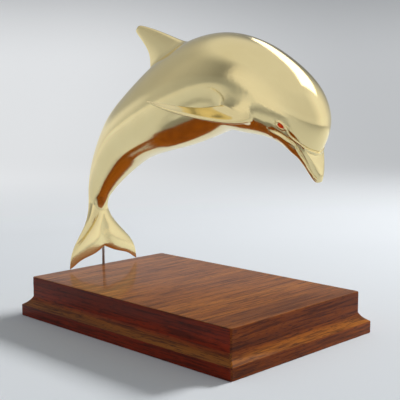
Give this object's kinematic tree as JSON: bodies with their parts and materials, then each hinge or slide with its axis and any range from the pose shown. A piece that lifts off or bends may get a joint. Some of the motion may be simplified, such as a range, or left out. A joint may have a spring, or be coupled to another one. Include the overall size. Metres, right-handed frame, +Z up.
{
  "type": "dolphin statue",
  "caption": "Polished gold dolphin in an arched leap, held by a thin rod at the notch of its flukes over a moulded rectangular wooden plinth.",
  "frame": {"origin": "centre of the plinth's underside", "axes": "+Z up; +X along the plinth's long side, the way the dolphin swims; +Y to the dolphin's left"},
  "size_m": [0.2443, 0.1546, 0.2293],
  "materials": {
    "polished_gold": "polished, slightly satin, pale yellow gold",
    "ruby_red": "glossy red stone",
    "steel": "plain bright steel",
    "walnut": "oiled and lacquered, semi-gloss"
  },
  "bodies": {
    "root": {"dolphin": "polished_gold", "eye_right": "ruby_red", "eye_left": "ruby_red", "support_rod": "steel", "plinth": "walnut"}
  },
  "joints": []
}
